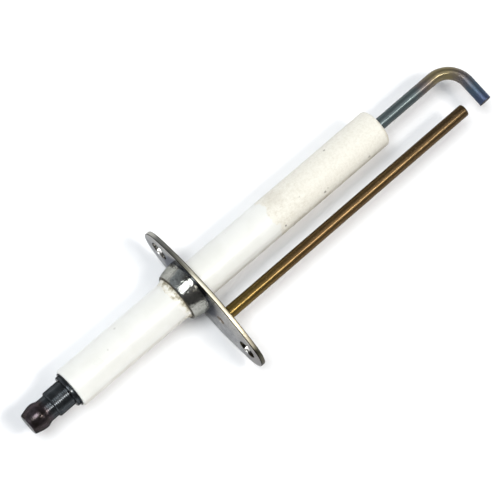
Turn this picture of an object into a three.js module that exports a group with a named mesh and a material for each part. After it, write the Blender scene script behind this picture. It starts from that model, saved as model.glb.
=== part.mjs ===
// Ignition electrode for a gas burner: a ceramic-insulated spark rod and a bare earth rod, both carried
// by one oval screw-on flange, with a push-on terminal for the high-voltage lead at the rear end.
//
// Millimetres. The origin is on the insulator's axis, on the flange's front face, which seats against the
// burner. +X points along the insulator towards the spark gap, +Y along the flange away from the earth
// rod, and +Z square to both.
import * as THREE from "three";

// Driving dimensions
const ROD_DIAMETER = 3.0;
const CLEARANCE = 0.05; // radial gap between a turned piece and the hole it sits in

const FLANGE = {
  thickness: 1.1,
  length: 38.6,
  width: 17.3,
  endRadius: 5.6,
  centreY: -4.15,
  holePitch: 29.0,
  holeDiameter: 4.6,
  edgeRounding: 0.2,
};

const INSULATOR = {
  rearX: -35.75,
  frontX: 54.8,
  rearDiameter: 9.7,
  frontDiameter: 9.4,
  boreDiameter: 3.4,
  counterboreDiameter: 4.4,
  counterboreDepth: 6.0,
  rearRounding: 0.4,
  frontRounding: 0.9,
  stepLength: 0.4, // of the change of diameter, which hides in the flange
};

const SLEEVE = {
  rearX: -5.35,
  footDiameter: 13.3,
  rimDiameter: 11.9,
  innerDiameter: 11.2,
  lipDiameter: 10.5,
  lipThickness: 0.4,
  rimRounding: 0.55,
  flankLength: 2.4, // how far the flank runs almost straight before it draws in to the rim
  spigotDiameter: 12.2, // the stepped-down end that is set in the plate
};

const SLEEVE_CEMENT = {
  filletLength: 1.2, // how far it shows behind the sleeve
  filletEdge: 0.08, // its thickness where it ends
  recess: 0.3, // how far it stops short of the flange's front face
};

const TERMINAL = {
  tipX: -47.7,
  tipDiameter: 5.2,
  tipRounding: 0.35,
  bulbDiameter: 6.35,
  bulbDistance: 3.1, // from the tip to the fattest place, and so on below
  neckDiameter: 5.5,
  neckStart: 4.75,
  neckEnd: 6.45,
  bodyDiameter: 6.4,
  bodyStart: 6.8,
  bodyChamfer: 0.12,
  collarDiameter: 7.9,
  collarThickness: 0.75,
  collarRounding: 0.25,
  holeClearance: 0.3, // beyond the rod's rear end
};

const WASHER = { diameter: 8.7, thickness: 0.3 };

const SPARK_ROD = {
  armX: 77.9, // the bent arm's axis
  bendRadius: 5.7, // of the centre line
  armEndY: -11.75,
  engagement: 8.2, // how deep the rod's rear end sits in the terminal
  bendSteps: 12,
};

const EARTH_ROD = {
  y: -10.0,
  endX: 72.85,
  chamfer: 0.2,
  spigotDiameter: 2.2, // the turned-down end that goes through the flange and is set flush behind it
};

const TURNED_SIDES = 48;
const ROD_SIDES = 24;

/** Points along an arc of a half section, as [x, radius] pairs. Angles in degrees, 0 along +X. */
function arc(x, radius, bend, fromDegrees, toDegrees, steps) {
  return Array.from({ length: steps + 1 }, (_, i) => {
    const angle = THREE.MathUtils.degToRad(
      fromDegrees + ((toDegrees - fromDegrees) * i) / steps,
    );
    return [x + bend * Math.cos(angle), radius + bend * Math.sin(angle)];
  });
}

/**
 * A solid turned about the X axis. The [x, radius] points either start and end on the axis, or run once
 * round the section of a ring.
 */
function turned(points, sides = TURNED_SIDES) {
  const section = points.map(([x, radius]) => new THREE.Vector2(radius, x));
  if (THREE.ShapeUtils.isClockWise(section)) section.reverse();
  const isRing = points.every(([, radius]) => radius > 0);
  if (isRing) section.push(section[0].clone());
  return new THREE.LatheGeometry(section, sides).rotateZ(-Math.PI / 2);
}

/** Points from one place on a half section to another, the radius changing as `ease` goes from 0 to 1. */
function swell([fromX, fromRadius], [toX, toRadius], steps, ease) {
  return Array.from({ length: steps + 1 }, (_, i) => {
    const t = i / steps;
    return [
      THREE.MathUtils.lerp(fromX, toX, t),
      THREE.MathUtils.lerp(fromRadius, toRadius, ease(t)),
    ];
  });
}

const quarterWave = (t) => Math.sin((Math.PI / 2) * t);
const halfWave = (t) => (1 - Math.cos(Math.PI * t)) / 2;

/** A plain ring between two radii and two places along the axis. */
function ring(rearX, frontX, innerRadius, outerRadius) {
  return turned([
    [rearX, innerRadius],
    [frontX, innerRadius],
    [frontX, outerRadius],
    [rearX, outerRadius],
  ]);
}

/** A centre line through given points, one step between each two, whatever their distance apart. */
class SteppedLine extends THREE.Curve {
  constructor(points, tangents) {
    super();
    this.points = points;
    this.tangents = tangents;
  }
  getUtoTmapping(u) {
    return u;
  }
  getPoint(t, target = new THREE.Vector3()) {
    const place = t * (this.points.length - 1);
    const before = Math.min(Math.floor(place), this.points.length - 2);
    return target.lerpVectors(
      this.points[before],
      this.points[before + 1],
      place - before,
    );
  }
  getTangent(t, target = new THREE.Vector3()) {
    return target.copy(
      this.tangents[Math.round(t * (this.tangents.length - 1))],
    );
  }
}

/** The glazed alumina tube: a bore for the rod, and a counterbore at each end for the cement. */
function insulatorGeometry() {
  const { rearX, frontX, counterboreDepth, rearRounding, frontRounding, stepLength } = INSULATOR;
  const bore = INSULATOR.boreDiameter / 2;
  const counterbore = INSULATOR.counterboreDiameter / 2;
  const rear = INSULATOR.rearDiameter / 2;
  const front = INSULATOR.frontDiameter / 2;
  const stepX = -FLANGE.thickness / 2;
  return turned([
    [rearX + counterboreDepth, counterbore],
    [rearX + counterboreDepth, bore],
    [frontX - counterboreDepth, bore],
    [frontX - counterboreDepth, counterbore],
    [frontX, counterbore],
    ...arc(frontX - frontRounding, front - frontRounding, frontRounding, 0, 90, 5),
    [stepX + stepLength, front],
    [stepX, rear],
    ...arc(rearX + rearRounding, rear - rearRounding, rearRounding, 90, 180, 4),
    [rearX, counterbore],
  ]);
}

/** The cement plug that holds the rod in a counterbore. */
function boreCementGeometry(rearX, frontX) {
  return ring(
    rearX,
    frontX,
    ROD_DIAMETER / 2 + CLEARANCE,
    INSULATOR.counterboreDiameter / 2 - CLEARANCE,
  );
}

/** The heat-proof rod: straight from the terminal through the insulator, then bent across the gap. */
function sparkElectrodeGeometry() {
  const { armX, bendRadius, armEndY, engagement, bendSteps } = SPARK_ROD;
  const bendCentre = new THREE.Vector2(armX - bendRadius, -bendRadius);
  const along = new THREE.Vector3(1, 0, 0);
  const down = new THREE.Vector3(0, -1, 0);

  const points = [new THREE.Vector3(INSULATOR.rearX - engagement, 0, 0)];
  const tangents = [along];
  for (let i = 0; i <= bendSteps; i++) {
    const turn = (Math.PI / 2) * (i / bendSteps);
    points.push(
      new THREE.Vector3(
        bendCentre.x + bendRadius * Math.sin(turn),
        bendCentre.y + bendRadius * Math.cos(turn),
        0,
      ),
    );
    tangents.push(new THREE.Vector3(Math.cos(turn), -Math.sin(turn), 0));
  }
  points.push(new THREE.Vector3(armX, armEndY, 0));
  tangents.push(down);

  const section = new THREE.Shape().absarc(0, 0, ROD_DIAMETER / 2, 0, 2 * Math.PI);
  return new THREE.ExtrudeGeometry(section, {
    steps: points.length - 1,
    curveSegments: ROD_SIDES / 2, // an arc gets two sides for each
    extrudePath: new SteppedLine(points, tangents),
  });
}

/** The push-on terminal: a bulb, a neck and a body with a collar, screwed onto the rod's rear end. */
function terminalGeometry() {
  const { tipX, tipRounding, bodyChamfer, collarRounding } = TERMINAL;
  const tip = TERMINAL.tipDiameter / 2;
  const bulb = TERMINAL.bulbDiameter / 2;
  const neck = TERMINAL.neckDiameter / 2;
  const body = TERMINAL.bodyDiameter / 2;
  const collar = TERMINAL.collarDiameter / 2;
  const bulbX = tipX + TERMINAL.bulbDistance;
  const neckStartX = tipX + TERMINAL.neckStart;
  const neckEndX = tipX + TERMINAL.neckEnd;
  const bodyStartX = tipX + TERMINAL.bodyStart;
  const frontX = INSULATOR.rearX - WASHER.thickness;
  const collarX = frontX - TERMINAL.collarThickness;
  const threadHole = ROD_DIAMETER / 2 + CLEARANCE;
  const holeEndX = INSULATOR.rearX - SPARK_ROD.engagement - TERMINAL.holeClearance;

  const tipArc = arc(tipX + tipRounding, tip - tipRounding, tipRounding, 180, 105, 3);
  return turned([
    [tipX, 0],
    ...tipArc,
    ...swell(tipArc.at(-1), [bulbX, bulb], 7, quarterWave).slice(1),
    ...swell([bulbX, bulb], [neckStartX, neck], 6, halfWave).slice(1),
    [neckEndX, neck],
    [bodyStartX - bodyChamfer, body - bodyChamfer],
    [bodyStartX, body],
    [collarX, body],
    ...arc(collarX + collarRounding, collar - collarRounding, collarRounding, 180, 90, 3),
    [frontX, collar],
    [frontX, threadHole],
    [holeEndX, threadHole],
    [holeEndX, 0],
  ]);
}

/** The thin washer between the terminal and the insulator's rear face. */
function washerGeometry() {
  return ring(
    INSULATOR.rearX - WASHER.thickness,
    INSULATOR.rearX,
    ROD_DIAMETER / 2 + CLEARANCE,
    WASHER.diameter / 2,
  );
}

/** The flange's oval outline, drawn flat: two wide side arcs run smoothly into two end arcs. */
function ovalShape(length, width, endRadius) {
  const endX = length / 2 - endRadius;
  const sideRadius =
    (endX ** 2 + (width / 2) ** 2 - endRadius ** 2) / (width - 2 * endRadius);
  const sideY = sideRadius - width / 2;
  const join = Math.atan2(sideY, endX); // direction from a side arc's centre to an end arc's centre
  const shape = new THREE.Shape();
  shape.absarc(endX, 0, endRadius, -join, join);
  shape.absarc(0, -sideY, sideRadius, join, Math.PI - join);
  shape.absarc(-endX, 0, endRadius, Math.PI - join, Math.PI + join);
  shape.absarc(0, sideY, sideRadius, Math.PI + join, 2 * Math.PI - join);
  return shape;
}

/** A round hole in a flat shape. */
function hole(x, y, diameter) {
  return new THREE.Path().absarc(x, y, diameter / 2, 0, 2 * Math.PI, true);
}

/** The pressed flange plate, with its holes for the sleeve, the earth rod and two screws. */
function flangeGeometry() {
  const { thickness, edgeRounding, centreY, holePitch, holeDiameter } = FLANGE;
  const plate = ovalShape(FLANGE.length, FLANGE.width, FLANGE.endRadius);
  plate.holes = [
    hole(-centreY, 0, SLEEVE.spigotDiameter + 2 * CLEARANCE),
    hole(EARTH_ROD.y - centreY, 0, EARTH_ROD.spigotDiameter + 2 * CLEARANCE),
    hole(-holePitch / 2, 0, holeDiameter),
    hole(holePitch / 2, 0, holeDiameter),
  ];
  return new THREE.ExtrudeGeometry(plate, {
    depth: thickness - 2 * edgeRounding,
    curveSegments: 12,
    bevelThickness: edgeRounding,
    bevelSize: edgeRounding,
    bevelOffset: -edgeRounding,
    bevelSegments: 2,
  })
    .translate(0, 0, edgeRounding - thickness)
    .rotateY(Math.PI / 2)
    .rotateX(Math.PI / 2)
    .translate(0, centreY, 0);
}

/** The bright sleeve behind the flange, its rear rim rolled in over the cement. */
function sleeveGeometry() {
  const { rearX, lipThickness, rimRounding, flankLength } = SLEEVE;
  const foot = SLEEVE.footDiameter / 2;
  const rim = SLEEVE.rimDiameter / 2;
  const inner = SLEEVE.innerDiameter / 2;
  const lip = SLEEVE.lipDiameter / 2;
  const spigot = SLEEVE.spigotDiameter / 2;
  const footX = -FLANGE.thickness;
  const rimArc = arc(rearX + rimRounding, rim - rimRounding, rimRounding, 110, 180, 4);
  const flank = new THREE.QuadraticBezierCurve(
    new THREE.Vector2(footX, foot),
    new THREE.Vector2(footX - flankLength, (3 * foot + rim) / 4),
    new THREE.Vector2(...rimArc[0]),
  );
  return turned([
    [0, inner],
    [0, spigot],
    [footX, spigot],
    ...flank.getPoints(5).map(({ x, y }) => [x, y]),
    ...rimArc.slice(1),
    [rearX, lip],
    [rearX + lipThickness, lip],
    [rearX + 2 * lipThickness, inner],
  ]);
}

/** The cement that fills the sleeve round the insulator and shows as a fillet behind its rim. */
function sleeveCementGeometry() {
  const { filletLength, filletEdge, recess } = SLEEVE_CEMENT;
  const insulator = INSULATOR.rearDiameter / 2 + CLEARANCE;
  const sleeve = SLEEVE.innerDiameter / 2 - CLEARANCE;
  const lip = SLEEVE.lipDiameter / 2 - CLEARANCE;
  const { rearX, lipThickness } = SLEEVE;
  return turned([
    [rearX - filletLength, insulator],
    [-recess, insulator],
    [-recess, sleeve],
    [rearX + 2 * lipThickness + CLEARANCE, sleeve],
    [rearX + lipThickness + CLEARANCE, lip],
    [rearX, lip],
    [rearX - filletLength, insulator + filletEdge],
  ]);
}

/** The earth rod: its spigot goes through the flange, and its free end faces the bent arm. */
function earthRodGeometry() {
  const { endX, chamfer, y } = EARTH_ROD;
  const radius = ROD_DIAMETER / 2;
  const spigot = EARTH_ROD.spigotDiameter / 2;
  return turned(
    [
      [-FLANGE.thickness, 0],
      [-FLANGE.thickness, spigot],
      [0, spigot],
      [0, radius],
      [endX - chamfer, radius],
      [endX, radius - chamfer],
      [endX, 0],
    ],
    2 * ROD_SIDES,
  ).translate(0, y, 0);
}

/** A named sub-part with its own material. */
function piece(name, geometry, color, roughness, metalness) {
  const material = new THREE.MeshStandardMaterial({ color, roughness, metalness });
  const mesh = new THREE.Mesh(geometry, material);
  mesh.name = name;
  return mesh;
}

const { rearX, frontX, counterboreDepth } = INSULATOR;
const electrode = new THREE.Group();
electrode.name = "ignition_electrode";
electrode.add(
  piece("insulator", insulatorGeometry(), 0xf1efe6, 0.3, 0),
  piece("spark_electrode", sparkElectrodeGeometry(), 0x4a565e, 0.35, 0.9),
  piece("terminal", terminalGeometry(), 0x2a2624, 0.3, 0.8),
  piece("terminal_washer", washerGeometry(), 0x1f2126, 0.4, 0.8),
  piece(
    "rear_bore_cement",
    boreCementGeometry(rearX + CLEARANCE, rearX + counterboreDepth - CLEARANCE),
    0xc9c2b2,
    0.9,
    0,
  ),
  piece(
    "front_bore_cement",
    boreCementGeometry(frontX - counterboreDepth + CLEARANCE, frontX - CLEARANCE),
    0xc9c2b2,
    0.9,
    0,
  ),
  piece("flange_plate", flangeGeometry(), 0x8a8983, 0.45, 0.9),
  piece("flange_sleeve", sleeveGeometry(), 0xa9aaa6, 0.15, 1),
  piece("sleeve_cement", sleeveCementGeometry(), 0xb9b3a4, 0.9, 0),
  piece("earth_rod", earthRodGeometry(), 0x6b5530, 0.4, 0.8),
);

export default electrode;
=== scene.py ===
"""The looks of the ignition electrode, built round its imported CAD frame.

Metres, in the frame's own axes: +X from the terminal to the spark gap, +Y along the flange away from the
earth rod, +Z up. Every visible CAD node is replaced by a finer mesh that follows it.
"""

import math

import bmesh
import bpy
from mathutils import Euler, Matrix, Vector, noise
from mathutils.geometry import delaunay_2d_cdt


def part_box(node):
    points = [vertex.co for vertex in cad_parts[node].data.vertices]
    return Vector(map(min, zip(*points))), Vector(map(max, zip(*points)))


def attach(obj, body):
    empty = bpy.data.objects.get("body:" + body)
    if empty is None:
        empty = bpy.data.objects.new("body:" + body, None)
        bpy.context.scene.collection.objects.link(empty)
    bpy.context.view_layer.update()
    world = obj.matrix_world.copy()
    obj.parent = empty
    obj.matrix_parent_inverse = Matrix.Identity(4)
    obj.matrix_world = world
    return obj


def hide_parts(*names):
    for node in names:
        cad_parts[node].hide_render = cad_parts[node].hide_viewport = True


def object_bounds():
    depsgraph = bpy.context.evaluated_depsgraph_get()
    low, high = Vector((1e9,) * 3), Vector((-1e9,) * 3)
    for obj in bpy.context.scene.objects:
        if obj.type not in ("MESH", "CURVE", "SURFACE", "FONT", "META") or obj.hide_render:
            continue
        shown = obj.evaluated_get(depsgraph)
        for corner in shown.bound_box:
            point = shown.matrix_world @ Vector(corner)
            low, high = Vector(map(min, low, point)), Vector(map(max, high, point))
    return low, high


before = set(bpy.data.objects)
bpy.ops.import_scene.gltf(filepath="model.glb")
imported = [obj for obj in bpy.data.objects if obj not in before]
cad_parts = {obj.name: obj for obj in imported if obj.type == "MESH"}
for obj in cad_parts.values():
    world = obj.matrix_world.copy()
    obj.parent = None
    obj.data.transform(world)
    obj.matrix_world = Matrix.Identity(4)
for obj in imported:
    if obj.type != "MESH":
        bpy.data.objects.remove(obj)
cad_low, cad_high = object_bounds()

MM = 0.001
TURN = 2 * math.pi
BODY = "root"
TURNED_SIDES, FINE_SIDES, ROD_SIDES = 160, 220, 64
SHARP_EDGE = math.radians(32)
RIM, HOLE = 1.0, -1.0  # the edge values of the plate's walls
HOLE_PITCH, HOLE_RADIUS = 29.0 * MM, 2.3 * MM  # of the screw holes


# ---------------------------------------------------------------------------------------------- shapes


def finished(name, points, faces):
    """A smooth-shaded object with crisp edges, its faces turned outwards."""
    mesh = bpy.data.meshes.new(name)
    mesh.from_pydata(points, [], faces)
    shape = bmesh.new()
    shape.from_mesh(mesh)
    bmesh.ops.recalc_face_normals(shape, faces=shape.faces)
    shape.to_mesh(mesh)
    shape.free()
    mesh.shade_smooth()
    mesh.set_sharp_from_angle(angle=SHARP_EDGE)
    made = bpy.data.objects.new(name, mesh)
    bpy.context.scene.collection.objects.link(made)
    return made


def band(first, second, sides):
    """The faces between two rings of points, given by the number of each ring's first point."""
    for j in range(sides):
        k = (j + 1) % sides
        yield first + j, first + k, second + k, second + j


def skin(name, rings, loop=False):
    """A closed mesh through rings of points: its ends are capped, or meet each other if it loops."""
    sides = len(rings[0])
    points = [point for ring in rings for point in ring]
    faces = []
    for i in range(len(rings) - 1):
        faces.extend(band(i * sides, (i + 1) * sides, sides))
    last = (len(rings) - 1) * sides
    if loop:
        faces.extend(band(last, 0, sides))
        return finished(name, points, faces)
    for first, turned_round in ((0, True), (last, False)):
        centre = sum((points[first + j] for j in range(sides)), Vector()) / sides
        points.append(centre)
        for j in range(sides):
            k = (j + 1) % sides
            edge = (first + k, first + j) if turned_round else (first + j, first + k)
            faces.append((*edge, len(points) - 1))
    return finished(name, points, faces)


def arc(x, radius, bend, start, end, steps):
    """Points along an arc of a section, as (x, radius) pairs. Angles in degrees, 0 along +X."""
    angles = (math.radians(start + (end - start) * i / steps) for i in range(steps + 1))
    return [(x + bend * math.cos(a), radius + bend * math.sin(a)) for a in angles]


def stretch(start, end, step, ease=lambda t: t):
    """Points from start to end of a section, about a step apart. The radius follows the ease."""
    count = max(1, round(abs(end[0] - start[0]) / step))
    shares = (i / count for i in range(1, count + 1))
    return [
        (start[0] + (end[0] - start[0]) * t, start[1] + (end[1] - start[1]) * ease(t)) for t in shares
    ]


def quarter_wave(t):
    return math.sin(math.pi / 2 * t)


def half_wave(t):
    return (1 - math.cos(math.pi * t)) / 2


def lumps(x, radius, angle, size):
    """Soft noise between -1 and 1 at a place on a turned surface, its lumps about `size` across."""
    return noise.noise(Vector((x, radius * math.cos(angle), radius * math.sin(angle))) / size)


def turned(name, section, loop=False, sides=TURNED_SIDES, rework=None):
    """A piece turned about the X axis. Rework moves each point, given its x, radius and angle."""
    rings = []
    for x, radius in section:
        ring = []
        for j in range(sides):
            angle = TURN * j / sides
            new_x, new_radius = rework(x, radius, angle) if rework else (x, radius)
            ring.append(Vector((new_x, new_radius * math.cos(angle), new_radius * math.sin(angle))))
        rings.append(ring)
    return skin(name, rings, loop)


def swept(name, stations, sides=ROD_SIDES):
    """A rod through stations of (distance along it, centre, sideways direction, two radii).

    Each point keeps its place on the straight rod, in millimetres, for the material."""
    rings = []
    unbent = []
    for along, centre, sideways, across, upright in stations:
        ring = []
        for j in range(sides):
            angle = TURN * j / sides
            out = across * math.cos(angle)
            up = upright * math.sin(angle)
            ring.append(centre + sideways * out + Vector((0, 0, up)))
            unbent.append((along / MM, out / MM, up / MM))
        rings.append(ring)
    unbent.append((stations[0][0] / MM, 0, 0))
    unbent.append((stations[-1][0] / MM, 0, 0))
    made = skin(name, rings)
    places = made.data.attributes.new("unbent", "FLOAT_VECTOR", "POINT")
    places.data.foreach_set("vector", [value for place in unbent for value in place])
    return made


def middle(node):
    low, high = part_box(node)
    return (low + high) / 2


def screw_holes():
    """Where the plate's two screw holes are along Y, the one by the earth rod first."""
    centre = middle("flange_plate").y
    return centre - HOLE_PITCH / 2, centre + HOLE_PITCH / 2


# -------------------------------------------------------------------------------------------- ceramic


def insulator():
    """The alumina tube, very slightly uneven as fired, with its edges chipped here and there."""
    low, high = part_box("insulator")
    rear, front = high.z, high.z - 0.15 * MM
    bore, counterbore, depth = 1.7 * MM, 2.2 * MM, 6 * MM
    rear_rounding, front_rounding = 0.4 * MM, 0.9 * MM
    mouth_width, mouth_depth = 0.12 * MM, 0.1 * MM
    step_x, step_length = middle("flange_plate").x, 0.4 * MM
    station = 1.2 * MM
    crease = 0.001 * MM  # between two rings, so that the flat end is shaded flat
    rear_start = low.x + rear_rounding
    front_end = high.x - front_rounding
    section = [
        (low.x + depth, bore),
        (low.x + depth, counterbore),
        (low.x, counterbore),
        (low.x + crease, rear - rear_rounding),
        *arc(rear_start, rear - rear_rounding, rear_rounding, 180, 90, 8),
        *stretch((rear_start, rear), (step_x, rear), station),
        (step_x + step_length, front),
        *stretch((step_x + step_length, front), (front_end, front), station),
        *arc(front_end, front - front_rounding, front_rounding, 90, 0, 12)[1:],
        (high.x, counterbore + mouth_width),
        (high.x - mouth_depth, counterbore),
        (high.x - depth, counterbore),
        (high.x - depth, bore),
    ]
    swell_size, swell_height = 9 * MM, 0.025 * MM
    chip_size, chip_depth, chip_reach, chip_start = 0.9 * MM, 0.35 * MM, 0.7 * MM, 0.3
    inset = 0.02 * MM  # keeps the swell inside the CAD box

    def as_fired(x, radius, angle):
        if radius <= counterbore:
            return x, radius
        swell = swell_height * lumps(x, radius, angle, swell_size)
        nearness = max(0.0, 1 - min(x - low.x, high.x - x) / chip_reach)
        chip = chip_depth * nearness * max(0.0, lumps(x, radius, angle, chip_size) - chip_start)
        return x, radius + swell - chip - inset

    made = turned("insulator_tube", section, loop=True, rework=as_fired)
    return made, "insulator", "glazed_alumina"


def front_bore_cement():
    """The cement round the rod in the tube's front end, drawn in and uneven."""
    low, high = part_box("front_bore_cement")
    inner, outer = 1.5 * MM, high.z + 0.04 * MM
    recess, unevenness, lump_size = 0.15 * MM, 0.225 * MM, 0.55 * MM
    steps, sides = 8, 96
    across = [(high.x, inner + (outer - inner) * i / steps) for i in range(steps + 1)]
    section = [(low.x, outer), (low.x, inner), *across]

    def drawn_in(x, radius, angle):
        if x < high.x:
            return x, radius
        return x - recess - unevenness * lumps(x, radius, angle, lump_size), radius

    made = turned("tip_cement", section, loop=True, sides=sides, rework=drawn_in)
    return made, "front_bore_cement", "cement"


def sleeve_cement():
    """The cement round the tube: it fills the sleeve and creeps out behind the rim in an uneven fillet."""
    low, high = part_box("sleeve_cement")
    rim_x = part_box("flange_sleeve")[0].x
    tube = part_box("insulator")[1].z - 0.06 * MM
    inside_tube = tube - 0.1 * MM
    lip, lip_end, bore_start = 5.22 * MM, rim_x + 0.45 * MM, rim_x + 0.85 * MM
    fillet_end, fillet_edge, fillet_steps = low.x - 0.25 * MM, 0.04 * MM, 14
    front_steps, front_depth = 6, 0.4 * MM
    tuck, hair = 0.02 * MM, 0.01 * MM
    fillet = []
    for i in range(fillet_steps + 1):
        t = i / fillet_steps
        radius = tube + (lip - tube) * (1 - t) ** 2 + fillet_edge
        fillet.append((rim_x + (fillet_end - rim_x) * t, radius))
    front = [(high.x, tube + (high.z - tube) * i / front_steps) for i in range(front_steps + 1)]
    section = [
        *front,
        (bore_start, high.z),
        (lip_end, lip),
        *fillet,
        (fillet_end - tuck, inside_tube),
        (high.x - front_depth, inside_tube),
    ]
    pit_size, pit_depth = 0.7 * MM, 0.25 * MM
    lobe_size, lobe_share = 2.1 * MM, 0.35
    notch_size, notch_share = 0.7 * MM, 0.25
    girth = 6 * MM  # the outline's lobes and notches are the same all along the fillet
    coarse_size, coarse_height = 0.8 * MM, 0.06 * MM
    fine_size, fine_height = 0.3 * MM, 0.03 * MM

    def crept(x, radius, angle):
        if x >= high.x - hair:
            return x - pit_depth * abs(lumps(x, radius, angle, pit_size)), radius
        if x > rim_x or radius < tube:
            return x, radius
        share = (rim_x - x) / (rim_x - fillet_end)
        lobe = lobe_share * lumps(0, girth, angle, lobe_size)
        notch = notch_share * lumps(1 * MM, girth, angle, notch_size)
        reach = 1 + lobe + notch
        coarse = coarse_height * lumps(x, radius, angle, coarse_size)
        fine = fine_height * lumps(x, radius, angle, fine_size)
        swell = math.sin(math.pi * min(1.0, share + 0.15))
        return rim_x - share * reach * (rim_x - fillet_end), radius + (coarse + fine) * swell

    made = turned("sleeve_cement_fillet", section, loop=True, sides=FINE_SIDES, rework=crept)
    return made, "sleeve_cement", "cement"


# --------------------------------------------------------------------------------------------- metals


def sleeve():
    """The polished sleeve, hand-burnished over the cement, so its flank and rim aren't quite true."""
    low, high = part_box("flange_sleeve")
    foot_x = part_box("flange_plate")[0].x
    foot, rim, inner, lip, spigot = high.z, 5.95 * MM, 5.6 * MM, 5.25 * MM, 6.1 * MM
    foot_rounding, rim_rounding, lip_rounding, chamfer = 0.12 * MM, 0.55 * MM, 0.1 * MM, 0.06 * MM
    lip_face, lip_end, bore_start = lip + 0.12 * MM, low.x + 0.4 * MM, low.x + 0.8 * MM
    bulge_distance, flank_steps = 2.4 * MM, 22
    rim_arc = arc(low.x + rim_rounding, rim - rim_rounding, rim_rounding, 110, 180, 10)
    start = Vector((foot_x - foot_rounding, foot))
    bulge = Vector((foot_x - bulge_distance, (3 * foot + rim) / 4))
    end = Vector(rim_arc[0])
    flank = []
    for i in range(1, flank_steps):
        t = i / flank_steps
        flank.append(tuple(start * (1 - t) ** 2 + bulge * 2 * t * (1 - t) + end * t**2))
    section = [
        (high.x, inner),
        (high.x, spigot - chamfer),
        (high.x - chamfer, spigot),
        (foot_x, spigot),
        (foot_x, foot - foot_rounding),
        *arc(foot_x - foot_rounding, foot - foot_rounding, foot_rounding, 0, 90, 4)[1:],
        *flank,
        *rim_arc,
        (low.x, lip_face),
        *arc(low.x + lip_rounding, lip + lip_rounding, lip_rounding, 180, 270, 4)[1:],
        (lip_end, lip),
        (bore_start, inner),
    ]
    margin = 0.05 * MM
    dent_size, dent_depth = 1.9 * MM, 0.034 * MM
    ding_size, ding_depth = 0.7 * MM, 0.006 * MM
    wave_size, wave_height, wave_reach, girth = 2.4 * MM, 0.07 * MM, 1.2 * MM, 6 * MM
    inset = 0.02 * MM  # keeps the dents inside the CAD box

    def burnished(x, radius, angle):
        if x > foot_x - margin or radius < lip - margin:
            return x, radius
        rimwards = max(0.0, 1 - (x - low.x) / wave_reach)
        wave = wave_height * rimwards * lumps(0, girth, angle, wave_size)
        dent = dent_depth * lumps(x, radius, angle, dent_size)
        ding = ding_depth * lumps(x, radius, angle, ding_size)
        return x + wave, radius + dent + ding - inset

    made = turned("polished_sleeve", section, loop=True, sides=FINE_SIDES, rework=burnished)
    return made, "flange_sleeve", "polished_steel"


def terminal():
    """The turned terminal, with its tool marks, a centre mark in its end and a groove behind the collar."""
    low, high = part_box("terminal")
    tip, bulb, neck, body, collar = 2.6 * MM, 3.175 * MM, 2.75 * MM, 3.2 * MM, high.z
    tip_rounding, chamfer, collar_rounding, collar_edge = 0.3 * MM, 0.14 * MM, 0.2 * MM, 0.1 * MM
    bulb_x, neck_start, neck_end, body_start = (low.x + d * MM for d in (3.1, 4.75, 6.45, 6.8))
    collar_x = high.x - 0.75 * MM
    groove_x, groove_depth, groove_flank = collar_x - 0.22 * MM, 0.16 * MM, 0.04 * MM
    mark_radius, mark_depth, mark_bottom, flat = 0.34 * MM, 0.22 * MM, 0.02 * MM, 1.4 * MM
    hole, hole_end = 1.55 * MM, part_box("spark_electrode")[0].x - 0.3 * MM
    station = 0.075 * MM
    tip_arc = arc(low.x + tip_rounding, tip - tip_rounding, tip_rounding, 180, 105, 6)
    section = [
        (low.x + mark_depth, mark_bottom),
        (low.x, mark_radius),
        (low.x, flat),
        *tip_arc,
        *stretch(tip_arc[-1], (bulb_x, bulb), station, quarter_wave),
        *stretch((bulb_x, bulb), (neck_start, neck), station, half_wave),
        *stretch((neck_start, neck), (neck_end, neck), station),
        *stretch((neck_end, neck), (body_start - chamfer, body - chamfer), station, quarter_wave),
        (body_start, body),
        *stretch((body_start, body), (groove_x, body), station),
        (groove_x + groove_flank, body - groove_depth),
        (collar_x - groove_flank, body - groove_depth),
        (collar_x, body),
        *arc(collar_x + collar_rounding, collar - collar_rounding, collar_rounding, 180, 90, 6),
        *arc(high.x - collar_edge, collar - collar_edge, collar_edge, 90, 0, 4),
        (high.x, hole),
        (hole_end, hole),
        (hole_end, mark_bottom),
    ]
    tool_pitch, bulb_mark, body_mark, margin = 0.45 * MM, 0.001 * MM, 0.0035 * MM, 0.1 * MM

    def tool_marked(x, radius, angle):
        if radius < neck - margin or x > groove_x:
            return x, radius
        depth = bulb_mark if x < neck_start else body_mark
        feed = math.sin(TURN * (x / tool_pitch + angle / TURN))
        return x, radius + depth * (feed - 1)

    made = turned("push_on_terminal", section, rework=tool_marked)
    return made, "terminal", "blackened_steel"


def washer():
    """The thin washer behind the tube, with a rolled edge."""
    low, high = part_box("terminal_washer")
    edge = (high.x - low.x) / 2
    outer, inner, flat = high.z, 1.6 * MM, 2.4 * MM
    section = [
        (low.x, inner),
        (low.x, flat),
        *arc(low.x + edge, outer - edge, edge, 180, 0, 10),
        (high.x, inner),
    ]
    made = turned("rear_washer", section, loop=True)
    return made, "terminal_washer", "blackened_steel"


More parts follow.
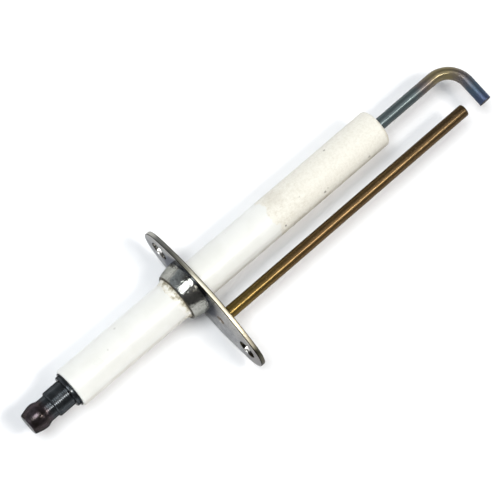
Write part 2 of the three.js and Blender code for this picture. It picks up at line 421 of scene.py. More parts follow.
def spark_rod():
    """The spark rod: straight, bent round a former, which flattens it a little, and cropped at its end."""
    low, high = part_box("spark_electrode")
    radius, chamfer = high.z, 0.13 * MM
    bend, flattening = 5.7 * MM, 0.01  # the bend's radius is its centre line's
    hollow = 0.03 * MM  # how far the cropped end is drawn in
    straight_steps, bend_steps, arm_steps = 90, 44, 14
    arm_x = high.x - radius
    bend_start = arm_x - bend
    quarter = bend * math.pi / 2
    along_y, along_x = Vector((0, 1, 0)), Vector((1, 0, 0))
    stations = []

    def add(along, centre, sideways, across=radius, upright=radius):
        stations.append((along, centre, sideways, across, upright))

    add(low.x, Vector((low.x, 0, 0)), along_y, radius - chamfer, radius - chamfer)
    for i in range(straight_steps):
        x = low.x + chamfer + (bend_start - low.x - chamfer) * i / straight_steps
        add(x, Vector((x, 0, 0)), along_y)
    for i in range(bend_steps + 1):
        angle = math.pi / 2 * i / bend_steps
        sideways = Vector((math.sin(angle), math.cos(angle), 0))
        centre = Vector((bend_start, -bend, 0)) + sideways * bend
        squeeze = flattening * math.sin(2 * angle)
        add(bend_start + quarter * i / bend_steps, centre, sideways, radius * (1 - squeeze), radius)
    arm_top, arm_end = -bend, low.y
    for i in range(1, arm_steps + 1):
        y = arm_top + (arm_end + chamfer - arm_top) * i / arm_steps
        add(bend_start + quarter + arm_top - y, Vector((arm_x, y, 0)), along_x)
    end_along = bend_start + quarter + arm_top - arm_end
    for share in (0.5, 1.0):
        drawn_in = radius - chamfer * share**2
        y = arm_end + chamfer * (1 - share)
        add(end_along, Vector((arm_x, y, 0)), along_x, drawn_in, drawn_in)
    add(end_along, Vector((arm_x, arm_end + hollow, 0)), along_x, radius / 2, radius / 2)
    made = swept("bent_spark_rod", stations)
    return made, "spark_electrode", "spark_rod_alloy"


def earth_rod():
    """The earth rod, with its turned-down end set in the flange and its free end rounded over."""
    low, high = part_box("earth_rod")
    axis_y = middle("earth_rod").y
    seat_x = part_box("flange_plate")[1].x
    radius, spigot = high.z, 1.1 * MM
    rounding, shoulder, spigot_edge = 0.3 * MM, 0.08 * MM, 0.1 * MM
    crown, crown_height, crown_start = 0.5 * MM, 0.05 * MM, 0.02 * MM
    steps = 110
    sideways = Vector((0, 1, 0))
    stations = []

    def add(x, size):
        stations.append((x, Vector((x, axis_y, 0)), sideways, size, size))

    add(low.x - crown_height, crown)
    add(low.x + crown_start, spigot - spigot_edge)
    add(low.x + spigot_edge, spigot)
    add(seat_x, spigot)
    add(seat_x, radius - shoulder)
    add(seat_x + shoulder, radius)
    for i in range(1, steps + 1):
        add(seat_x + (high.x - rounding - seat_x) * i / steps, radius)
    for x, size in arc(high.x - rounding, radius - rounding, rounding, 80, 0, 6):
        add(x, size)
    made = swept("earth_rod_bar", stations)
    return made, "earth_rod", "tarnished_rod_alloy"


def oval(length, width, end_radius, inset, step):
    """The flange's outline drawn in by an inset: two wide side arcs that run smoothly into two end arcs."""
    end = length / 2 - end_radius
    side_radius = (end**2 + (width / 2) ** 2 - end_radius**2) / (width - 2 * end_radius)
    side = side_radius - width / 2
    join = math.atan2(side, end)
    arcs = (
        (end, 0, end_radius, -join, join),
        (0, -side, side_radius, join, math.pi - join),
        (-end, 0, end_radius, math.pi - join, math.pi + join),
        (0, side, side_radius, math.pi + join, TURN - join),
    )
    outline = []
    for centre_y, centre_z, radius, start, finish in arcs:
        count = max(2, round(radius * (finish - start) / step))
        for i in range(count):
            angle = start + (finish - start) * i / count
            y = centre_y + (radius - inset) * math.cos(angle)
            z = centre_z + (radius - inset) * math.sin(angle)
            outline.append((y, z))
    return outline


def circle(y, z, radius, inset, step):
    """A hole's outline, drawn out by an inset."""
    count = max(24, round(TURN * radius / step))
    angles = (TURN * i / count for i in range(count))
    return [(y + (radius + inset) * math.cos(a), z + (radius + inset) * math.sin(a)) for a in angles]


def edge_profile(low_x, high_x, rear, front, steps=5):
    """A plate's edge from its rear face to its front face, as (x, inset) pairs, rounded at both."""
    angles = [math.pi / 2 * i / steps for i in range(steps + 1)]
    rear_corner = [(low_x + rear * (1 - math.sin(a)), rear * (1 - math.cos(a))) for a in reversed(angles)]
    front_corner = [(high_x - front * (1 - math.sin(a)), front * (1 - math.cos(a))) for a in angles]
    return rear_corner + front_corner


def is_inside(y, z, outlines):
    """Whether a place is inside the first outline and outside the holes."""
    crossings = 0
    for outline in outlines:
        for (y0, z0), (y1, z1) in zip(outline, outline[1:] + outline[:1]):
            if (z0 > z) != (z1 > z) and y < y0 + (z - z0) * (y1 - y0) / (z1 - z0):
                crossings += 1
    return crossings % 2 == 1


class Plate:
    """The points and faces of a flat plate, gathered wall by wall and face by face.

    Each point has an edge value for the material, which is 0 all over both faces."""

    def __init__(self):
        self.points = []
        self.edges = []
        self.faces = []

    def add_wall(self, rings, edge):
        """Adds a wall through rings, and gives the numbers of its first and its last ring's points."""
        sides = len(rings[0])
        start = len(self.points)
        for i, ring in enumerate(rings):
            self.points.extend(ring)
            is_inner = 0 < i < len(rings) - 1
            self.edges.extend([edge if is_inner else 0.0] * sides)
            if i:
                self.faces.extend(band(start + (i - 1) * sides, start + i * sides, sides))
        last = len(self.points) - sides
        return range(start, start + sides), range(last, last + sides)

    def add_face(self, borders, grid):
        """Fills the flat between borders with triangles, through the points of a grid."""
        numbers = [number for border in borders for number in border]
        outlines = [[(self.points[n].y, self.points[n].z) for n in border] for border in borders]
        edges = []
        for border in borders:
            first = len(edges)
            edges.extend((first + i, first + (i + 1) % len(border)) for i in range(len(border)))
        for point in grid:
            if is_inside(point.y, point.z, outlines):
                numbers.append(len(self.points))
                self.points.append(point)
                self.edges.append(0.0)
        flat = [Vector((self.points[n].y, self.points[n].z)) for n in numbers]
        _, _, triangles, sources, _, _ = delaunay_2d_cdt(flat, edges, [], 0, 1e-9)
        for triangle in triangles:
            corners = [numbers[sources[v][0]] for v in triangle]
            centre = sum((self.points[n] for n in corners), Vector()) / 3
            if is_inside(centre.y, centre.z, outlines):
                self.faces.append(tuple(corners))


def flange_plate():
    """The pressed plate: rolled over on its front edge, nicked along its rim and not quite flat."""
    low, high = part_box("flange_plate")
    centre_y = middle("flange_plate").y
    length, width, end_radius = high.y - low.y, high.z - low.z, 5.6 * MM
    rear_rounding, front_rounding = 0.1 * MM, 0.2 * MM
    outline_step, face_step = 0.35 * MM, 0.8 * MM
    nick_size, nick_depth, nick_start = 0.8 * MM, 0.08 * MM, 0.4
    wave_size, wave_height, inset = 3 * MM, 0.004 * MM, 0.02 * MM
    dent_size, dent_depth = 1.8 * MM, 0.008 * MM
    warp_size, warp_height = 11 * MM, 0.03 * MM
    holes = [
        (0.0, 6.15 * MM, 0.05 * MM),  # for the sleeve: its place along Y, radius and rounding
        (middle("earth_rod").y, 1.15 * MM, 0.04 * MM),
        *((y, HOLE_RADIUS, 0.12 * MM) for y in screw_holes()),
    ]

    def rim(x, rounded_off):
        ring = []
        for y, z in oval(length, width, end_radius, rounded_off, outline_step):
            nick = nick_depth * max(0.0, noise.noise(Vector((x, y, z)) / nick_size) - nick_start)
            wave = wave_height * noise.noise(Vector((0, y, z)) / wave_size)
            share = 1 - (nick + inset + wave) / math.hypot(y, z)
            ring.append(Vector((x, centre_y + y * share, z * share)))
        return ring

    plate = Plate()
    profile = edge_profile(low.x, high.x, rear_rounding, front_rounding)
    borders = [plate.add_wall([rim(x, rounded_off) for x, rounded_off in profile], RIM)]
    for y, radius, rounding in holes:
        rings = []
        for x, rounded_off in edge_profile(low.x, high.x, rounding, rounding):
            outline = circle(y, 0, radius, rounded_off, outline_step)
            rings.append([Vector((x, *place)) for place in outline])
        borders.append(plate.add_wall(rings, HOLE))

    for side, x in ((0, low.x), (1, high.x)):
        grid = []
        for row in range(round(width / face_step)):
            for column in range(round(length / face_step)):
                y = low.y + (column + 0.5 * (row % 2) + 0.25) * face_step
                z = low.z + (row + 0.5) * face_step
                dent = dent_depth * noise.noise(Vector((side, y / dent_size, z / dent_size)))
                grid.append(Vector((x + dent, y, z)))
        plate.add_face([border[side] for border in borders], grid)

    for point in plate.points:
        point.x += warp_height * noise.noise(Vector((0, point.y, point.z)) / warp_size)
    made = finished("oval_flange", plate.points, plate.faces)
    made.data.attributes.new("edge", "FLOAT", "POINT").data.foreach_set("value", plate.edges)
    return made, "flange_plate", "pressed_steel"


# ------------------------------------------------------------------------------------------ materials
# Places, sizes and heights in the materials are in millimetres of the frame.


def rear_of(node):
    """Where a node begins along X, in millimetres."""
    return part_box(node)[0].x / MM


def front_of(node):
    """Where a node ends along X, in millimetres."""
    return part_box(node)[1].x / MM


def tone(red, green, blue):
    """A linear colour from the 0 to 255 values that a screen shows."""
    shares = (value / 255 for value in (red, green, blue))
    linear = [s / 12.92 if s <= 0.04045 else ((s + 0.055) / 1.055) ** 2.4 for s in shares]
    return (*linear, 1.0)


class Graph:
    """A tree of shader nodes. Each call adds the nodes that it needs and gives their output."""

    def __init__(self, tree):
        self.tree = tree

    def node(self, kind, inputs, **settings):
        made = self.tree.nodes.new("ShaderNode" + kind)
        for setting, value in settings.items():
            setattr(made, setting, value)
        for socket, value in inputs.items():
            self.feed(made.inputs[socket], value)
        return made

    def feed(self, socket, value):
        if isinstance(value, bpy.types.NodeSocket):
            self.tree.links.new(value, socket)
        else:
            socket.default_value = value

    def scaled(self, vector, factors):
        return self.node("VectorMath", {0: vector, 1: factors}, operation="MULTIPLY").outputs[0]

    def shifted(self, vector, offset):
        return self.node("VectorMath", {0: vector, 1: offset}, operation="ADD").outputs[0]

    def parts(self, vector):
        split = self.node("SeparateXYZ", {0: vector}).outputs
        return split[0], split[1], split[2]

    def distance(self, vector, place):
        return self.node("VectorMath", {0: vector, 1: place}, operation="DISTANCE").outputs["Value"]

    def plus(self, first, second):
        return self.node("Math", {0: first, 1: second}, operation="ADD").outputs[0]

    def times(self, first, second):
        return self.node("Math", {0: first, 1: second}, operation="MULTIPLY").outputs[0]

    def remap(self, value, low, high, new_low=0.0, new_high=1.0):
        """The value's way from low to high, eased and clamped, as a way from new_low to new_high."""
        inputs = {
            "Value": value,
            "From Min": low,
            "From Max": high,
            "To Min": new_low,
            "To Max": new_high,
        }
        return self.node("MapRange", inputs, interpolation_type="SMOOTHSTEP").outputs[0]

    def mixed(self, share, first, second):
        """Two colours, the second's share from 0 to 1."""
        return self.node("Mix", {0: share, 6: first, 7: second}, data_type="RGBA").outputs[2]

    def ramp(self, value, stops):
        """A colour that changes along a value, from (value, colour) stops."""
        first, last = stops[0][0], stops[-1][0]
        share = self.times(self.plus(value, -first), 1 / (last - first))
        made = self.node("ValToRGB", {0: share})
        elements = made.color_ramp.elements
        while len(elements) < len(stops):
            elements.new(1.0)
        for element, (stop, colour) in zip(elements, stops):
            element.position = (stop - first) / (last - first)
            element.color = colour
        return made.outputs[0]


class Finish(Graph):
    """A procedural material. Its constants go straight on the shader's sockets."""

    def __init__(self, name, **constants):
        self.material = bpy.data.materials.new(name)
        self.material.use_nodes = True
        super().__init__(self.material.node_tree)
        self.shader = self.tree.nodes["Principled BSDF"]
        sockets = {"metallic": "Metallic", "specular": "Specular IOR Level", "edge_tint": "Specular Tint"}
        for constant, value in constants.items():
            self.shader.inputs[sockets[constant]].default_value = value

    def place(self):
        """The place on the object, in millimetres of the frame."""
        coordinates = self.node("TexCoord", {}).outputs["Object"]
        return self.scaled(coordinates, (1 / MM, 1 / MM, 1 / MM))

    def unbent(self):
        """The place on a rod as if it were straight, in millimetres."""
        return self.node("Attribute", {}, attribute_name="unbent").outputs["Vector"]

    def noise(self, vector, size, detail=3.0, roughness=0.5):
        """Noise about 0.5, its features about `size` millimetres across."""
        inputs = {"Vector": vector, "Scale": 1 / size, "Detail": detail, "Roughness": roughness}
        return self.node("TexNoise", inputs).outputs[0]

    def warped(self, vector, size, reach):
        """The place pushed about by noise, so that a mark there gets a ragged outline."""
        push = self.node("TexNoise", {"Vector": vector, "Scale": 1 / size, "Detail": 3.0}).outputs["Color"]
        centred = self.shifted(push, (-0.5, -0.5, -0.5))
        offset = self.scaled(centred, (reach, reach, reach))
        return self.shifted(vector, offset)

    def spot(self, vector, place, radius):
        """1 at a place, fading to 0 at the radius."""
        return self.remap(self.distance(vector, place), 0.2 * radius, radius, 1.0, 0.0)

    def finish(self, colour, roughness, height, bump_size):
        """Links the surface's colour, its roughness and a bump whose full height is in millimetres."""
        self.feed(self.shader.inputs["Base Color"], colour)
        self.feed(self.shader.inputs["Roughness"], roughness)
        bump = self.node("Bump", {"Height": height, "Distance": bump_size * MM})
        self.feed(self.shader.inputs["Normal"], bump.outputs[0])
        return self.material


# Marks burnt on the ceramic: the place, the radius and the darkness of each.
CERAMIC_MARKS = (
    ((23.4, -3.9, 2.7), 0.42, 0.75),
    ((35.2, -3.9, 2.7), 0.46, 0.65),
    ((36.2, -3.6, 3.0), 0.3, 0.55),
    ((48.4, -4.2, 1.9), 0.5, 0.5),
    ((41.2, 3.3, 3.4), 0.38, 0.7),
    ((12.0, 3.6, 3.2), 0.3, 0.35),
    ((29.5, -1.2, 4.6), 0.3, 0.3),
    ((-20.4, 3.4, 3.5), 0.4, 0.25),
    ((-24.8, 0.6, 4.8), 0.35, 0.2),
)


def ceramic():
    """Alumina: glazed white behind, and bare, creamier and a little soiled from the glaze line to the tip."""
    f = Finish("alumina", specular=0.5)
    place = f.place()
    x, y = f.parts(place)[:2]
    glaze_line, tip_x = 22.0, front_of("insulator")
    plate_x, rim_x = rear_of("flange_plate"), rear_of("flange_sleeve")
    brown = tone(150, 134, 106)
    wander = f.times(f.plus(f.noise(place, 2.6, 4.0, 0.6), -0.5), 5.0)
    bare = f.remap(f.plus(x, wander), glaze_line - 0.3, glaze_line + 0.5)

    clouds = f.noise(place, 6.0, 3.0, 0.6)
    mottle = f.noise(place, 0.6, 6.0, 0.75)
    glazed = f.mixed(f.remap(clouds, 0.3, 0.7), tone(230, 230, 224), tone(235, 235, 230))
    unglazed = f.mixed(f.remap(mottle, 0.32, 0.62), tone(224, 220, 207), tone(235, 232, 221))
    colour = f.mixed(bare, glazed, unglazed)

    # Soot in the bare surface, strongest near the glaze line.
    near_line = f.remap(x, glaze_line + 16, glaze_line, 0.15, 0.8)
    sooty = f.times(f.remap(f.noise(place, 1.1, 7.0, 0.8), 0.47, 0.66), f.times(bare, near_line))
    colour = f.mixed(f.times(sooty, 0.5), colour, tone(192, 182, 160))

    # Painted brown shade along the side by the earth rod, painted shade along the far side and round the tip,
    # and a stain by the sleeve.
    patchy = f.remap(f.noise(place, 4.0, 3.0, 0.55), 0.3, 0.65, 0.6, 1.0)
    painted_shade_by_earth_rod = f.times(f.remap(y, -4.2, -4.78), f.remap(x, -2.0, 6.0, 0.4, 0.7))
    colour = f.mixed(f.times(painted_shade_by_earth_rod, patchy), colour, brown)
    # Painted shade along the far side's edge.
    painted_shade_far_side = f.times(f.remap(y, 4.0, 4.7), f.remap(x, 0.0, 8.0, 0.0, 0.28))
    colour = f.mixed(f.times(painted_shade_far_side, patchy), colour, tone(150, 146, 138))
    smudge = f.spot(f.warped(place, 0.9, 3.0), (25.0, 2.6, 4.0), 3.4)
    colour = f.mixed(f.times(f.times(smudge, f.remap(mottle, 0.35, 0.55)), 0.3), colour, tone(176, 166, 148))
    # Painted shade round the tip's rounding, on the earth rod's side.
    painted_shade_at_tip = f.times(f.remap(x, tip_x - 1.1, tip_x - 0.05), f.remap(y, 1.0, -3.5))
    colour = f.mixed(f.times(f.times(painted_shade_at_tip, patchy), 0.5), colour, brown)
    by_sleeve = f.remap(f.plus(x, wander), rim_x - 2.25, rim_x - 0.85)
    by_sleeve = f.times(by_sleeve, f.remap(x, plate_x + 0.1, plate_x + 0.2, 1.0, 0.0))
    colour = f.mixed(f.times(by_sleeve, 0.25), colour, tone(186, 178, 156))

    ragged = f.warped(place, 0.4, 0.5)
    for mark, radius, darkness in CERAMIC_MARKS:
        colour = f.mixed(f.times(f.spot(ragged, mark, radius), darkness), colour, tone(92, 78, 62))

    orange_peel = f.noise(place, 1.1, 2.0)
    grain = f.noise(place, 0.16, 3.0, 0.6)
    height = f.node("Mix", {0: bare, 2: orange_peel, 3: grain}, data_type="FLOAT").outputs[0]
    roughness = f.plus(f.remap(bare, 0.0, 1.0, 0.24, 0.5), f.times(clouds, 0.1))
    return f.finish(colour, roughness, height, 0.008)


def cement():
    """Refractory cement, white and half glassy, burnt brown in patches, and browner towards the sleeve's rim.
    """
    f = Finish("refractory_cement", specular=0.5)
    place = f.place()
    x = f.parts(place)[0]
    patches = f.noise(place, 1.5, 4.0, 0.65)
    rim_x = rear_of("flange_sleeve")
    by_rim = f.remap(x, rim_x - 1.25, rim_x - 0.05, 0.0, 0.12)
    colour = f.ramp(f.plus(patches, f.times(by_rim, -1.0)), [
        (0.26, tone(134, 126, 104)),
        (0.36, tone(180, 173, 152)),
        (0.46, tone(226, 222, 208)),
        (0.58, tone(240, 239, 233)),
    ])
    pits = f.noise(place, 0.25, 3.0, 0.6)
    colour = f.mixed(f.remap(pits, 0.64, 0.72, 0.0, 0.6), colour, tone(120, 110, 88))
    roughness = f.remap(patches, 0.4, 0.62, 0.6, 0.18)
    return f.finish(colour, roughness, f.noise(place, 0.35, 4.0, 0.6), 0.04)


def polished_steel():
    """The sleeve: bright, with fine scratches round it and soft dents that break up its reflections."""
    f = Finish("polished_steel", metallic=1.0, edge_tint=tone(195, 195, 193))
    rim_x = rear_of("flange_sleeve")
    place = f.place()
    x = f.parts(place)[0]
    clouds = f.noise(place, 2.4, 3.0, 0.6)
    colour = f.mixed(f.remap(clouds, 0.3, 0.7), tone(148, 149, 142), tone(172, 172, 166))
    # Painted shade on the rolled rim.
    by_rim = f.remap(f.plus(x, clouds), rim_x + 1.05, rim_x + 0.4)
    colour = f.mixed(f.times(by_rim, 0.5), colour, tone(84, 80, 70))
    rim_line = f.remap(x, rim_x + 0.38, rim_x + 0.2)
    colour = f.mixed(f.times(rim_line, 0.8), colour, tone(50, 43, 32))
    grime = f.remap(f.noise(place, 0.8, 5.0, 0.7), 0.52, 0.66)
    colour = f.mixed(f.times(grime, 0.45), colour, tone(92, 92, 86))
    scratches = f.noise(f.scaled(place, (9.0, 0.6, 0.6)), 1.0, 3.0, 0.6)
    roughness = f.plus(f.remap(clouds, 0.35, 0.7, 0.07, 0.15), f.times(scratches, 0.05))
    ripple = f.noise(place, 0.9, 3.0, 0.55)
    return f.finish(colour, roughness, f.plus(ripple, f.times(scratches, 0.08)), 0.08)


def sheared_rim_and_painted_reflections(f, place, clouds):
    """The colour of the plate's sheared rim, which differs along it and over its thickness: painted
    reflections, pale where the rim faces the lights and dark where it faces the ceiling. Both corners are
    painted dark, as shade.
    """
    x, y, _ = f.parts(place)
    along = f.plus(y, clouds)
    rear_half = f.ramp(along, [
        (-23.0, tone(96, 94, 84)),
        (-19.8, tone(66, 64, 52)),
        (-18.6, tone(176, 170, 152)),
        (-8.0, tone(186, 180, 162)),
        (0.6, tone(208, 202, 184)),
        (2.4, tone(120, 117, 104)),
        (9.0, tone(126, 124, 114)),
        (15.0, tone(182, 181, 174)),
    ])
    front_half = f.ramp(along, [
        (-23.0, tone(100, 97, 86)),
        (-19.8, tone(84, 82, 70)),
        (-18.6, tone(124, 118, 102)),
        (-9.0, tone(116, 110, 92)),
        (-6.0, tone(168, 162, 144)),
        (0.6, tone(170, 165, 148)),
        (2.4, tone(182, 178, 164)),
        (15.0, tone(184, 182, 174)),
    ])
    rear_x, middle_x = rear_of("flange_plate"), middle("flange_plate").x / MM
    colour = f.mixed(f.remap(x, rear_x + 0.3, rear_x + 0.85), rear_half, front_half)
    from_middle = f.distance(f.scaled(place, (1.0, 0.0, 0.0)), (middle_x, 0.0, 0.0))
    # Painted shade on both corners.
    corners = f.remap(f.plus(from_middle, f.times(clouds, 0.1)), 0.40, 0.48)
    return f.mixed(f.times(corners, 0.95), colour, tone(18, 17, 13))


def pressed_steel():
    """The plate: satin, with rolling lines along it, painted shade by the sleeve, its sheared rim warmer and
    painted with reflections.
    """
    f = Finish("pressed_steel", metallic=1.0, edge_tint=tone(190, 190, 192))
    place = f.place()
    x, y, z = f.parts(place)
    rolling = f.noise(f.scaled(place, (3.0, 0.16, 3.0)), 0.8, 4.0, 0.65)
    clouds = f.noise(place, 3.0, 4.0, 0.6)
    colour = f.mixed(f.remap(clouds, 0.35, 0.65), tone(190, 190, 188), tone(230, 229, 226))
    colour = f.mixed(f.remap(rolling, 0.42, 0.68, 0.0, 0.5), colour, tone(138, 140, 144))
    # Painted light: paler and warmer towards the top.
    colour = f.mixed(f.remap(z, -2.0, 5.0, 0.0, 0.5), colour, tone(232, 226, 212))

    # Painted blue shade round the sleeve behind, a heat tint round the earth rod, grime, and one tarnished
    # end.
    flat = f.scaled(place, (0.0, 1.0, 1.0))
    from_axis = f.distance(flat, (0.0, 0.0, 0.0))
    rear_x, front_x = rear_of("flange_plate"), front_of("flange_plate")
    by_sleeve = f.remap(f.plus(from_axis, f.times(clouds, 2.0)), 10.8, 8.7)
    by_sleeve = f.times(by_sleeve, f.remap(x, front_x - 0.2, rear_x + 0.2, 0.2, 0.9))
    colour = f.mixed(by_sleeve, colour, tone(62, 72, 92))
    from_rod = f.distance(flat, (0.0, middle("earth_rod").y / MM, 0.0))
    heat = f.remap(f.plus(from_rod, f.times(clouds, 1.5)), 3.6, 1.4)
    colour = f.mixed(f.times(heat, 0.25), colour, tone(154, 126, 96))
    grime = f.remap(f.noise(place, 0.7, 6.0, 0.75), 0.5, 0.66)
    colour = f.mixed(f.times(grime, 0.5), colour, tone(104, 102, 98))
    tarnished = f.remap(f.plus(y, f.times(clouds, 3.0)), -14.5, -20.0)
    colour = f.mixed(f.times(tarnished, 0.65), colour, tone(96, 90, 80))

    # The rim, with its painted reflections, and painted shade on the flanks of the holes' walls.
    edge = f.node("Attribute", {}, attribute_name="edge").outputs["Fac"]
    on_rim = f.remap(edge, 0.0, RIM)
    colour = f.mixed(on_rim, colour, sheared_rim_and_painted_reflections(f, place, clouds))
    in_hole = f.remap(edge, 0.0, HOLE)
    across = f.scaled(place, (0.0, 1.0, 0.0))
    for hole_y, darkness in zip(screw_holes(), (0.95, 0.6)):
        from_hole = f.distance(across, (0.0, hole_y / MM, 0.0))
        flank = f.times(f.remap(from_hole, 0.6, 1.0), f.remap(from_hole, 4.0, 3.0))
        colour = f.mixed(f.times(f.times(in_hole, flank), darkness), colour, tone(64, 60, 48))

    roughness = f.plus(f.remap(clouds, 0.3, 0.7, 0.08, 0.17), f.times(rolling, 0.08))
    roughness = f.plus(roughness, f.times(on_rim, 0.2))
    height = f.plus(rolling, f.times(f.noise(place, 0.35, 3.0), 0.35))
    return f.finish(colour, roughness, height, 0.012)


def blackened_steel():
    """Black oxide on turned steel: bluish on the body, burnt brown and purple towards the bulb."""
    f = Finish("blackened_steel", metallic=0.8, specular=0.8, edge_tint=tone(130, 130, 132))
    place = f.place()
    x = f.parts(place)[0]
    clouds = f.noise(place, 1.6, 4.0, 0.6)
    body = f.mixed(f.remap(clouds, 0.35, 0.65), tone(54, 58, 61), tone(68, 72, 75))
    bulb = f.mixed(f.remap(clouds, 0.35, 0.65), tone(50, 45, 43), tone(70, 62, 66))
    neck_x = rear_of("terminal") + 5.9
    towards_body = f.remap(f.plus(x, f.times(clouds, 1.5)), neck_x - 0.8, neck_x + 0.8)
    colour = f.mixed(towards_body, bulb, body)
    worn = f.remap(f.noise(place, 0.4, 3.0, 0.6), 0.6, 0.72)
    colour = f.mixed(f.times(worn, 0.3), colour, tone(120, 114, 108))
    tool_lines = f.noise(f.scaled(place, (14.0, 0.7, 0.7)), 1.0, 2.0)
    roughness = f.plus(f.remap(clouds, 0.3, 0.7, 0.12, 0.2), f.times(tool_lines, 0.06))
    height = f.plus(tool_lines, f.times(f.noise(place, 0.25, 3.0), 0.5))
    return f.finish(colour, roughness, height, 0.005)


def drawn_rod(name, stops, metallic, fleck, fleck_share, roughness, scaled_from=None):
    """A drawn rod: a tint that changes along it, die lines, flecks, perhaps a scaled end, cropped dull.

    Its grain takes it from the lower roughness to the higher one."""
    f = Finish(name, metallic=metallic, specular=0.4, edge_tint=tone(170, 162, 148))
    place = f.unbent()
    along = f.parts(place)[0]
    clouds = f.noise(place, 2.2, 4.0, 0.65)
    wandering = f.plus(along, f.times(f.plus(clouds, -0.5), 6.0))
    colour = f.ramp(wandering, stops)
    die_lines = f.noise(f.scaled(place, (0.07, 2.6, 2.6)), 1.0, 4.0, 0.7)
    colour = f.mixed(f.remap(die_lines, 0.35, 0.6, 0.3, 0.0), colour, tone(30, 27, 26))
    grain = f.noise(f.scaled(place, (0.6, 1.0, 1.0)), 0.26, 4.0, 0.7)
    colour = f.mixed(f.times(f.remap(grain, 0.55, 0.7), fleck_share), colour, fleck)
    end = stops[-1][0]
    cropped = f.remap(along, end - 0.2, end - 0.08)
    colour = f.mixed(f.times(cropped, 0.8), colour, tone(66, 60, 56))
    dullness = f.plus(f.remap(grain, 0.35, 0.65, *roughness), f.times(cropped, 0.2))
    if scaled_from is not None:
        dullness = f.plus(dullness, f.remap(wandering, scaled_from, scaled_from + 6.0, 0.0, 0.2))
    height = f.plus(f.times(die_lines, 0.6), grain)
    return f.finish(colour, dullness, height, 0.008)


def heat_tinted_rod():
    """The spark rod's metal: blue grey, straw round the bend, and blue again on the arm."""
    stops = [
        (50.0, tone(84, 95, 98)),
        (66.0, tone(83, 94, 96)),
        (69.0, tone(98, 90, 88)),
        (72.5, tone(116, 106, 82)),
        (76.0, tone(126, 116, 86)),
        (79.0, tone(110, 102, 96)),
        (81.0, tone(90, 90, 96)),
        (83.0, tone(68, 84, 100)),
        (87.2, tone(66, 78, 106)),
    ]
    grey = tone(128, 136, 138)
    return drawn_rod("heat_tinted_rod", stops, 0.4, grey, 0.25, roughness=(0.11, 0.24), scaled_from=77.0)


def tarnished_rod():
    """The earth rod's metal: golden brown by the flange, and darker towards its free end."""
    stops = [
        (-0.6, tone(112, 98, 84)),
        (0.4, tone(106, 88, 44)),
        (8.0, tone(100, 82, 42)),
        (22.0, tone(90, 70, 42)),
        (60.0, tone(84, 67, 43)),
        (72.85, tone(76, 61, 40)),
    ]
    copper = tone(176, 150, 110)
    return drawn_rod("tarnished_rod", stops, 0.6, copper, 0.5, roughness=(0.11, 0.26))


# ------------------------------------------------------------------------------------------- assembly

finishes = {
    "glazed_alumina": ceramic(),
    "cement": cement(),
    "polished_steel": polished_steel(),
    "pressed_steel": pressed_steel(),
    "blackened_steel": blackened_steel(),
    "spark_rod_alloy": heat_tinted_rod(),
    "tarnished_rod_alloy": tarnished_rod(),
}
makers = (
    insulator,
    front_bore_cement,
    sleeve_cement,
    sleeve,
    terminal,
    washer,
    spark_rod,
    earth_rod,
    flange_plate,
)
for make in makers:
    piece, node, slot = make()
    piece.data.materials.append(finishes[slot])
    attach(piece, BODY)
    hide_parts(node)

hidden_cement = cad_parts["rear_bore_cement"].data.materials
hidden_cement.clear()
hidden_cement.append(finishes["cement"])


# ---------------------------------------------------------------------------------------------- stage


def floor():
    """A pale level floor that the object's lowest point touches, small enough for low views to look past."""
    half = 0.45
    corners = [(-half, -half, 0), (half, -half, 0), (half, half, 0), (-half, half, 0)]
    made = finished("floor", corners, [(0, 1, 2, 3)])
    made.location.z = cad_low.z
    f = Finish("pale_floor", specular=0.2)
    place = f.place()
    colour = f.mixed(f.noise(place, 60.0, 2.0), tone(250, 250, 251), tone(252, 252, 253))
    made.data.materials.append(f.finish(colour, 0.8, f.noise(place, 1.5, 2.0), 0.01))


def softbox(name, toward, distance, size, radiance, colour=(1, 1, 1)):
    """A rectangular light that looks at the object from a direction, its second side along the flange."""
    width, length = size
    light = bpy.data.lights.new(name, "AREA")
    light.shape = "RECTANGLE"
    light.size, light.size_y = width, length
    light.energy = radiance * math.pi * width * length
    light.color = colour
    made = bpy.data.objects.new(name, light)
    back = Vector(toward).normalized()
    across = Vector((0, 1, 0)).cross(back).normalized()
    made.location = back * distance
    made.rotation_euler = Matrix((across, back.cross(across), back)).transposed().to_euler()
    bpy.context.scene.collection.objects.link(made)


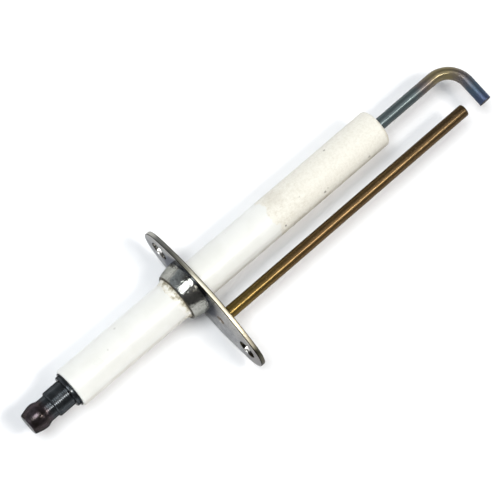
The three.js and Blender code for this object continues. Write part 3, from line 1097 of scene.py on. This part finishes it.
def studio():
    """Pale walls low down, and a dark ceiling, paler behind the flange's upper end, for metal to mirror."""
    world = bpy.data.worlds.new("studio")
    bpy.context.scene.world = world
    world.use_nodes = True
    f = Graph(world.node_tree)
    x, y, z = f.parts(f.node("TexCoord", {}).outputs["Generated"])
    wall, dark_ceiling, pale_ceiling = (1.0, 1.0, 1.0, 1), (0.09, 0.09, 0.09, 1), (0.46, 0.50, 0.56, 1)
    behind = f.plus(y, f.times(x, -1.2))
    ceiling = f.mixed(f.remap(behind, 0.35, 1.1), dark_ceiling, pale_ceiling)
    sky = f.mixed(f.remap(z, 0.07, 0.28), wall, ceiling)
    f.feed(world.node_tree.nodes["Background"].inputs["Color"], sky)


def camera():
    """The photograph's view: from above, a little behind the flange, with the object across the frame."""
    target = Vector((14.3, -2.5, 0.0)) * MM
    distance = 508.0 * MM
    turn = Euler((math.radians(5.95), math.radians(-12.84), math.radians(-40.63)), "ZYX")
    focal_length, sensor_width = 166.15, 36.0  # in millimetres, as Blender wants them
    lens = bpy.data.cameras.new("camera")
    lens.lens, lens.sensor_width = focal_length, sensor_width
    made = bpy.data.objects.new("camera", lens)
    made.rotation_mode = "ZYX"
    made.rotation_euler = turn
    made.location = target + turn.to_matrix() @ Vector((0, 0, distance))
    bpy.context.scene.collection.objects.link(made)
    bpy.context.scene.camera = made


floor()
studio()
softbox("ceiling_strip", toward=(0.30, -0.12, 0.95), distance=2.0, size=(0.34, 2.1), radiance=2.4)
softbox(
    "window",
    toward=(-0.20, 0.14, 0.97),
    distance=2.0,
    size=(0.85, 0.85),
    radiance=10.8,
    colour=(0.95, 0.98, 1.0),
)
softbox(
    "key_light",
    toward=(0.22, -0.37, 0.90),
    distance=2.2,
    size=(0.6, 0.34),
    radiance=24.0,
    colour=(1.0, 0.96, 0.91),
)
softbox(
    "side_light",
    toward=(0.48, -0.50, 0.72),
    distance=2.2,
    size=(1.0, 1.1),
    radiance=1.8,
    colour=(1.0, 0.98, 0.95),
)
camera()
bpy.context.scene.view_settings.view_transform = "Standard"
